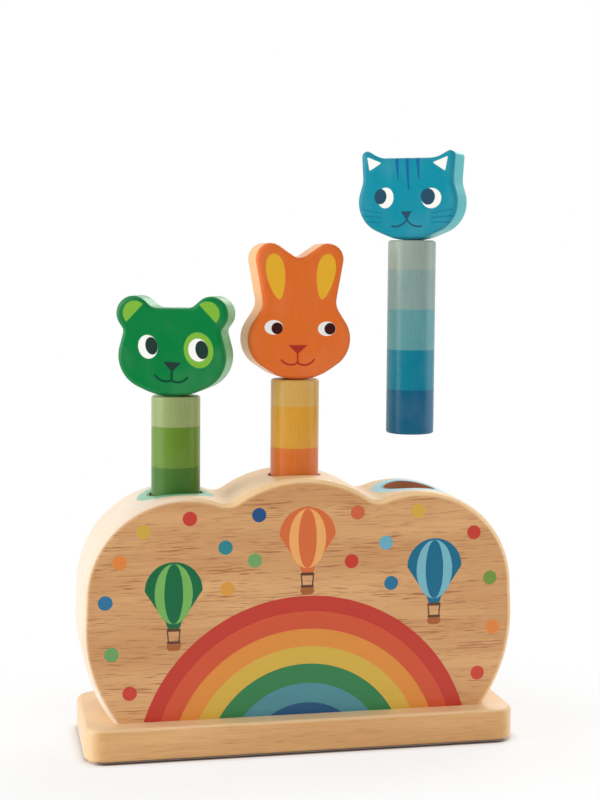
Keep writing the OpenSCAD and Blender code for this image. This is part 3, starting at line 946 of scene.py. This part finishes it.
# In each face: ears, eyes, nose and mouth. The bear's head covers the foot of its inner ears,
# and a leaf-green patch lies round one of its eyes.
BEAR_FACE = [
    oval(-19, 42.1, 12.4, 12.4, BEAR_LEAF),
    oval(19, 42.1, 12.4, 12.4, BEAR_LEAF),
    stroke((-19.5, 30.9), (-7.8, 43.1), 14.8, BEAR_GREEN),
    stroke((19.5, 30.9), (7.8, 43.1), 14.8, BEAR_GREEN),
    oval(-12.0, 25.1, 10.2, 12.1, EYE_WHITE, 12),
    oval(-10.1, 25.6, 6.4, 9.0, BEAR_INK, 12),
    oval(14.4, 23.8, 15.2, 18.1, BEAR_LEAF, 12),
    oval(14.2, 23.9, 10.2, 11.6, EYE_WHITE, 12),
    oval(16.1, 24.0, 6.6, 9.4, BEAR_INK, 12),
    wedge((-4.0, 17.8), (0.5, 12.4), (5.5, 17.4), BEAR_INK),
    stroke((0.5, 13.4), (0.4, 8.4), 1.3, BEAR_MOUTH),
    arc((-8.1, 10.7), (-4.7, 8.2), (0.4, 8.4), 1.2, BEAR_MOUTH),
    arc((0.4, 8.4), (4.4, 7.5), (8.5, 9.8), 1.2, BEAR_MOUTH)]

BUNNY_FACE = [
    *[oval(side * 13.1, 52.9, 9.5, 23.4, BUNNY_YELLOW, -9 * side, 0.3) for side in (-1, 1)],
    oval(-14.3, 27.1, 9.7, 7.4, EYE_WHITE),
    oval(-12.5, 26.6, 6.1, 6.0, BUNNY_INK),
    oval(14.1, 26.2, 9.7, 7.4, EYE_WHITE),
    oval(15.8, 26.2, 6.1, 6.0, BUNNY_INK),
    wedge((-6.6, 18.0), (-1.5, 13.2), (3.9, 18.0), BUNNY_RED),
    stroke((-1.5, 14.7), (-1.5, 9.1), 0.9, BUNNY_RED),
    arc((-10.1, 10.4), (-5.9, 8.0), (-1.5, 8.9), 1.0, BUNNY_RED),
    arc((-1.5, 8.9), (2.7, 7.7), (7.3, 10.4), 1.0, BUNNY_RED)]

CAT_FACE = [
    wedge((-22.0, 43.0), (-20.6, 35.8), (-14.0, 39.9), EYE_WHITE, 1.2),
    wedge((22.0, 43.0), (13.8, 39.8), (20.6, 35.4), EYE_WHITE, 1.2),
    stroke((-5.6, 41.6), (-4.9, 32.1), 1.9, CAT_STRIPE, 0.8),
    stroke((-0.1, 41.8), (1.0, 26.1), 1.9, CAT_STRIPE, 0.8),
    stroke((5.7, 42.0), (6.4, 31.9), 1.9, CAT_STRIPE, 0.8),
    oval(-11.6, 21.8, 8.8, 10.7, EYE_WHITE, -6),
    oval(-14.4, 22.5, 6.7, 7.9, CAT_INK, -6),
    oval(13.4, 21.6, 10.7, 10.4, EYE_WHITE, 6),
    oval(11.5, 22.4, 7.7, 8.4, CAT_INK, 6),
    wedge((-3.3, 14.8), (0.3, 10.3), (2.9, 15.0), CAT_INK),
    arc((-7.9, 7.2), (-3.4, 7.6), (0.3, 10.7), 0.9, CAT_INK),
    arc((0.3, 10.7), (3.8, 7.6), (8.1, 7.3), 0.9, CAT_INK),
    *[stroke((side * 13.5, 13.9 - 2.3 * row), (side * 24.5, 15.9 - 3.3 * row), 0.5, CAT_WHISKER)
      for side in (-1, 1) for row in range(3)]]

# Each head's marks, and the colours of its front and back and of its sides.
HEAD_PAINT = {"bear": (BEAR_FACE, BEAR_GREEN, colour(120, 195, 140)),
              "bunny": (BUNNY_FACE, BUNNY_ORANGE, colour(255, 184, 118)),
              "cat": (CAT_FACE, CAT_BLUE, colour(46, 180, 186))}


def make_head_paint(animal):
    marks, paint, side_paint = HEAD_PAINT[animal]
    finish, tree = start_material(animal.title() + " stain", STAIN_COAT)
    here = peg_millimetres(tree, animal)
    depth = maths(tree, "ABSOLUTE", parts_of(tree, here)["Y"])
    uneven = maths(tree, "MULTIPLY_ADD", noise(tree, here, (0.3, 0.3, 0.3)), 0.5, depth)
    brim = HEAD_THICKNESS / 2 - HEAD_EDGE + 0.6
    covered = ramp(tree, uneven, brim, brim + 0.5)
    face = use(tree, STAIN, {"Vector": here, "Paint": paint, "Cover": 0.9})
    side = use(tree, STAIN, {"Vector": here, "Paint": side_paint, "Cover": 0.7})
    front = ramp(tree, parts_of(tree, here)["Y"], -1, 1, 1.0, 0.0)
    drawn = paint_marks(tree, here, face["Color"], marks, front)
    base = mixed(tree, covered, side["Color"], drawn)
    return finished(finish, base, face, 0.015)


# --- The stems: five stained bands, palest under the head ---

BANDS = {
    "bear": [(146, 161, 103), (100, 136, 40), (66, 114, 35), (32, 98, 42), (14, 82, 44)],
    "bunny": [(214, 168, 86), (218, 156, 48), (218, 114, 42), (188, 76, 40), (148, 56, 38)],
    "cat": [(150, 166, 155), (132, 160, 156), (93, 154, 158), (0, 126, 151), (4, 94, 130)]}
END_GRAIN = colour(205, 210, 214)


def make_band_stain(animal):
    finish, tree = start_material(animal.title() + " band stain", BAND_COAT)
    here = peg_millimetres(tree, animal)
    below = times(tree, parts_of(tree, here)["Z"], -1.0)
    uneven = maths(tree, "MULTIPLY_ADD", noise(tree, here, (0.8, 0.8, 0.2)), 0.3, below)
    paints = [colour(*paint) for paint in BANDS[animal]]
    base = paints[0]
    for end, paint in zip(BAND_ENDS[animal], paints[1:]):
        base = mixed(tree, ramp(tree, uneven, end, end + 0.3), base, paint)
    stain = use(tree, STAIN, {"Vector": here, "Paint": base, "Cover": 0.8})
    ends = ramp(tree, below, STEM_LENGTH - 0.25, STEM_LENGTH - 0.05)
    base = mixed(tree, ends, stain["Color"], END_GRAIN)
    return finished(finish, base, stain, 0.015)


# --- Pins, springs, washers and screws ---

def make_pin_wood():
    """Plain dowel, with its grain upright."""
    finish, tree = start_material("Dowel wood", {"Specular IOR Level": 0.3})
    here = millimetres(tree, tilt=(0, math.pi / 2, 0))
    grain = use(tree, GRAIN, {"Vector": here, "Light": colour(236, 205, 156),
                              "Dark": colour(214, 174, 120), "Flecks": 0.4})
    return finished(finish, grain["Color"], grain, 0.05)


def make_metal(name, tint):
    finish, tree = start_material(name, {"Metallic": 1.0})
    steel = use(tree, STEEL, {"Vector": millimetres(tree), "Steel": tint})
    return finished(finish, steel["Color"], steel, 0.01)


def cover(piece, finish):
    """Gives a piece, or a CAD node, one finish all over."""
    piece.data.materials.clear()
    piece.data.materials.append(finish)


# --- Building, dressing and hanging the pieces on their bodies ---

def place(piece, body, node, finish):
    cover(piece, finish)
    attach(piece, body)
    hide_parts(node)


spring_steel = make_metal("Spring steel", colour(176, 178, 182))
washer_steel = make_metal("Washer steel", colour(205, 206, 208))
screw_steel = make_metal("Screw steel", colour(212, 208, 196))
pin_wood = make_pin_wood()

place(make_base_board(), "stand", "base_plate", make_board_wood())
place(make_block(), "stand", "body_block", make_block_wood())

plain_stem, plain_screw = make_stem(), make_spring_screw()
for animal in HOLE_X:
    peg = animal + "_peg"
    head = make_head(animal)
    place(head, peg, animal + "_head", make_head_paint(animal))
    stem = copied(plain_stem, animal + "_banded_stem", (HOLE_X[animal], 0, STEM_Z[animal]))
    place(stem, peg, animal + "_stem", make_band_stain(animal))
    spring = make_spring(animal)
    place(spring, "stand", animal + "_spring", spring_steel)
    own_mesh(spring)
    cover(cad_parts[animal + "_neck_pin"], pin_wood)
    cover(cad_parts[animal + "_spring_washer"], washer_steel)
    node = animal + "_spring_screw"
    screw = copied(plain_screw, animal + "_dome_screw", (HOLE_X[animal], 0, top_of(node)))
    place(screw, "stand", node, screw_steel)
for pattern in (plain_stem, plain_screw):
    bpy.data.objects.remove(pattern)
place(make_base_screws(), "stand", "base_screws", screw_steel)


# --- Floor, light and camera ---

FLOOR_SIZE = 6.0
FLOOR_WHITE = colour(250, 249, 247)
# How far the floor's painted contact shadow reaches from the board, in metres.
PAINTED_SHADOW_REACH = (0.0003, 0.0016)
CONTACT_REACH, SHADOW_REACH, SHADOW_SHARE = 0.006, 0.12, 0.3
# What gloss mirrors is dimmer in front of the toy, across these stretches of y, on the floor
# and in the sky.
FRONT_DIM, DIM_FLOOR, DIM_SKY = 0.05, (-0.7, -0.25), (-0.6, 0.1)


def make_floor():
    """A pale floor that keeps the shadow near the toy and turns plain white further out."""
    let_go()
    bpy.ops.mesh.primitive_plane_add(size=FLOOR_SIZE, location=(0, 0, 0))
    floor = bpy.context.object
    floor.name = "floor"
    finish, tree = start_material("Pale floor", {"Roughness": 0.9, "Specular IOR Level": 0.0})
    shader = tree.nodes["Principled BSDF"]
    spot = add(tree, "ShaderNodeTexCoord", {}).outputs["Object"]
    speck = noise(tree, spot, (90, 90, 90), 2.0)
    pale = mixed(tree, times(tree, speck, 0.02), FLOOR_WHITE, colour(225, 224, 222))
    white = add(tree, "ShaderNodeEmission", {"Color": WHITE, "Strength": 1.0})
    # Distance from the board's outline, whose corners are round.
    round_ends = PLATE_CORNER * MM
    beyond = vectors(tree, "SUBTRACT", vectors(tree, "ABSOLUTE", spot), (
        PLATE_LENGTH / 2 * MM - round_ends, PLATE_WIDTH / 2 * MM - round_ends, 0))
    out = scaled(tree, vectors(tree, "MAXIMUM", beyond, NOWHERE), LEVEL)
    reach = vectors(tree, "LENGTH", out)
    away = maths(tree, "MAXIMUM", maths(tree, "SUBTRACT", reach, round_ends), 0.0)
    # A fine brown line of painted contact shadow lies on the floor along the long edges of the
    # board.
    line = times(tree, ramp(tree, away, *PAINTED_SHADOW_REACH, 0.9, 0.0),
                 ramp(tree, parts_of(tree, beyond)["X"], 0, round_ends, 1.0, 0.0))
    link(tree, mixed(tree, line, pale, colour(92, 56, 34)), shader.inputs["Base Color"])
    rays = add(tree, "ShaderNodeLightPath", {}).outputs
    mirrored_light = ramp(tree, parts_of(tree, spot)["Y"], *DIM_FLOOR, FRONT_DIM, 1.0)
    link(tree, maths(tree, "MAXIMUM", rays["Is Camera Ray"], mirrored_light),
         white.inputs["Strength"])
    near = ramp(tree, away, 0, CONTACT_REACH, 0.0, 1.0 - SHADOW_SHARE)
    far = ramp(tree, away, 2 * CONTACT_REACH, SHADOW_REACH, 0.0, SHADOW_SHARE)
    lit = maths(tree, "ADD", near, far)
    share = maths(tree, "MAXIMUM", times(tree, lit, rays["Is Camera Ray"]),
                  rays["Is Glossy Ray"])
    blend = add(tree, "ShaderNodeMixShader",
                {0: share, 1: shader.outputs[0], 2: white.outputs[0]})
    link(tree, blend.outputs[0], tree.nodes["Material Output"].inputs["Surface"])
    cover(floor, finish)


def make_world(strength):
    """White where it is seen, and a plain even light on the toy.

    It is mirrored white from the sides and the back, and dimmer from the front.
    """
    world = bpy.data.worlds.new("Pale studio")
    world.use_nodes = True
    tree = world.node_tree
    backdrop = tree.nodes["Background"]
    rays = add(tree, "ShaderNodeLightPath", {}).outputs
    way = add(tree, "ShaderNodeTexCoord", {}).outputs["Generated"]
    mirrored_light = ramp(tree, parts_of(tree, way)["Y"], *DIM_SKY, FRONT_DIM, 1.0)
    glossy = times(tree, rays["Is Glossy Ray"], mirrored_light)
    clear = maths(tree, "MAXIMUM", rays["Is Camera Ray"], rays["Is Transmission Ray"])
    diffuse = times(tree, rays["Is Diffuse Ray"], strength)
    backdrop.inputs["Color"].default_value = WHITE
    link(tree, maths(tree, "MAXIMUM", clear, maths(tree, "MAXIMUM", glossy, diffuse)),
         backdrop.inputs["Strength"])
    bpy.context.scene.world = world


def add_lamp(name, spot, aim, size, watts, in_gloss):
    lamp = bpy.data.lights.new(name, "AREA")
    lamp.shape = "SQUARE"
    lamp.size = size
    lamp.energy = watts
    holder = bpy.data.objects.new(name, lamp)
    holder.location = spot
    holder.rotation_euler = (Vector(aim) - Vector(spot)).to_track_quat("-Z", "Y").to_euler()
    holder.visible_glossy = in_gloss
    bpy.context.scene.collection.objects.link(holder)


# Each lamp's place, aim, size in metres and watts, and whether it shows in gloss.
LAMPS = {"left lamp": ((-1.25, -0.12, 0.5), (0, 0, 0.12), 0.9, 10.5, True),
         "front lamp": ((-0.1, -1.5, 1.1), (0, 0, 0.12), 1.0, 6.7, False),
         "right lamp": ((1.3, -0.2, 0.45), (0, 0, 0.15), 0.8, 3.5, True),
         "back lamp": ((0.7, 0.9, 1.0), (0, 0, 0.15), 0.9, 8, True)}
DAYLIGHT = 0.45

CAMERA_SPOT = (-0.160664, -0.777666, 0.248836)
CAMERA_AHEAD = (0.204963, 0.975987, -0.073749)
CAMERA_ROLL, CAMERA_SHIFT = 0.4534, -0.0354
CAMERA_LENS, CAMERA_SENSOR = 69.15, 36


def add_camera():
    eye = bpy.data.cameras.new("camera")
    eye.sensor_fit = "VERTICAL"
    eye.sensor_height = CAMERA_SENSOR
    eye.lens = CAMERA_LENS
    eye.shift_y = CAMERA_SHIFT
    eye.clip_start = 0.02
    eye.clip_end = 50
    stand = bpy.data.objects.new("camera", eye)
    level = Vector(CAMERA_AHEAD).to_track_quat("-Z", "Y").to_matrix()
    roll = Matrix.Rotation(math.radians(CAMERA_ROLL), 3, "Z")
    stand.matrix_world = Matrix.Translation(CAMERA_SPOT) @ (level @ roll).to_4x4()
    bpy.context.scene.collection.objects.link(stand)
    bpy.context.scene.camera = stand


make_floor()
make_world(DAYLIGHT)
for name, settings in LAMPS.items():
    add_lamp(name, *settings)
add_camera()
bpy.context.scene.view_settings.view_transform = "Standard"
